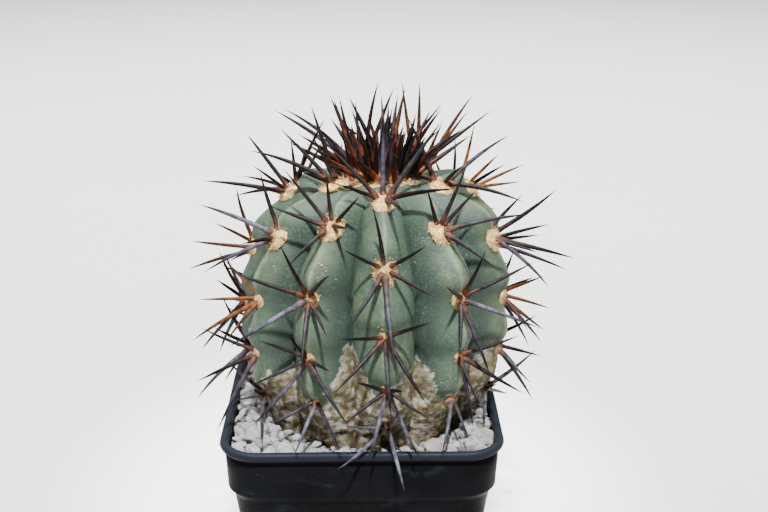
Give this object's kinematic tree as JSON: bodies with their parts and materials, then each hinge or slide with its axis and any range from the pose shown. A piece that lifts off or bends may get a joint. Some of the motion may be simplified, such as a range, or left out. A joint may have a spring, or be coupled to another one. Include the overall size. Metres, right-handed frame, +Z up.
{
  "type": "potted copiapoa cactus",
  "caption": "Ribbed globe cactus with woolly areoles, dark spines and a spiny crown, in a square black nursery pot filled with potting mix and topped with white pumice.",
  "frame": {"origin": "centre of the pot's underside, on the surface it stands on", "axes": "+Z up, out of the pot; -Y toward the picture's viewer; +X to the viewer's right"},
  "size_m": [0.1056, 0.1081, 0.1496],
  "materials": {
    "pot": "satin black, slightly scuffed",
    "potting_mix": "dark crumbly mineral mix",
    "pumice": "off-white rough grains",
    "cactus": "waxy blue-green skin, corky brown toward the foot, cream wool and dark spines",
    "crown": "dark red-brown young spines in pale wool"
  },
  "bodies": {
    "root": {"pot": "pot", "potting_mix": "potting_mix", "pumice_top_dressing": "pumice", "cactus": "cactus", "crown_tuft": "crown"}
  },
  "joints": []
}
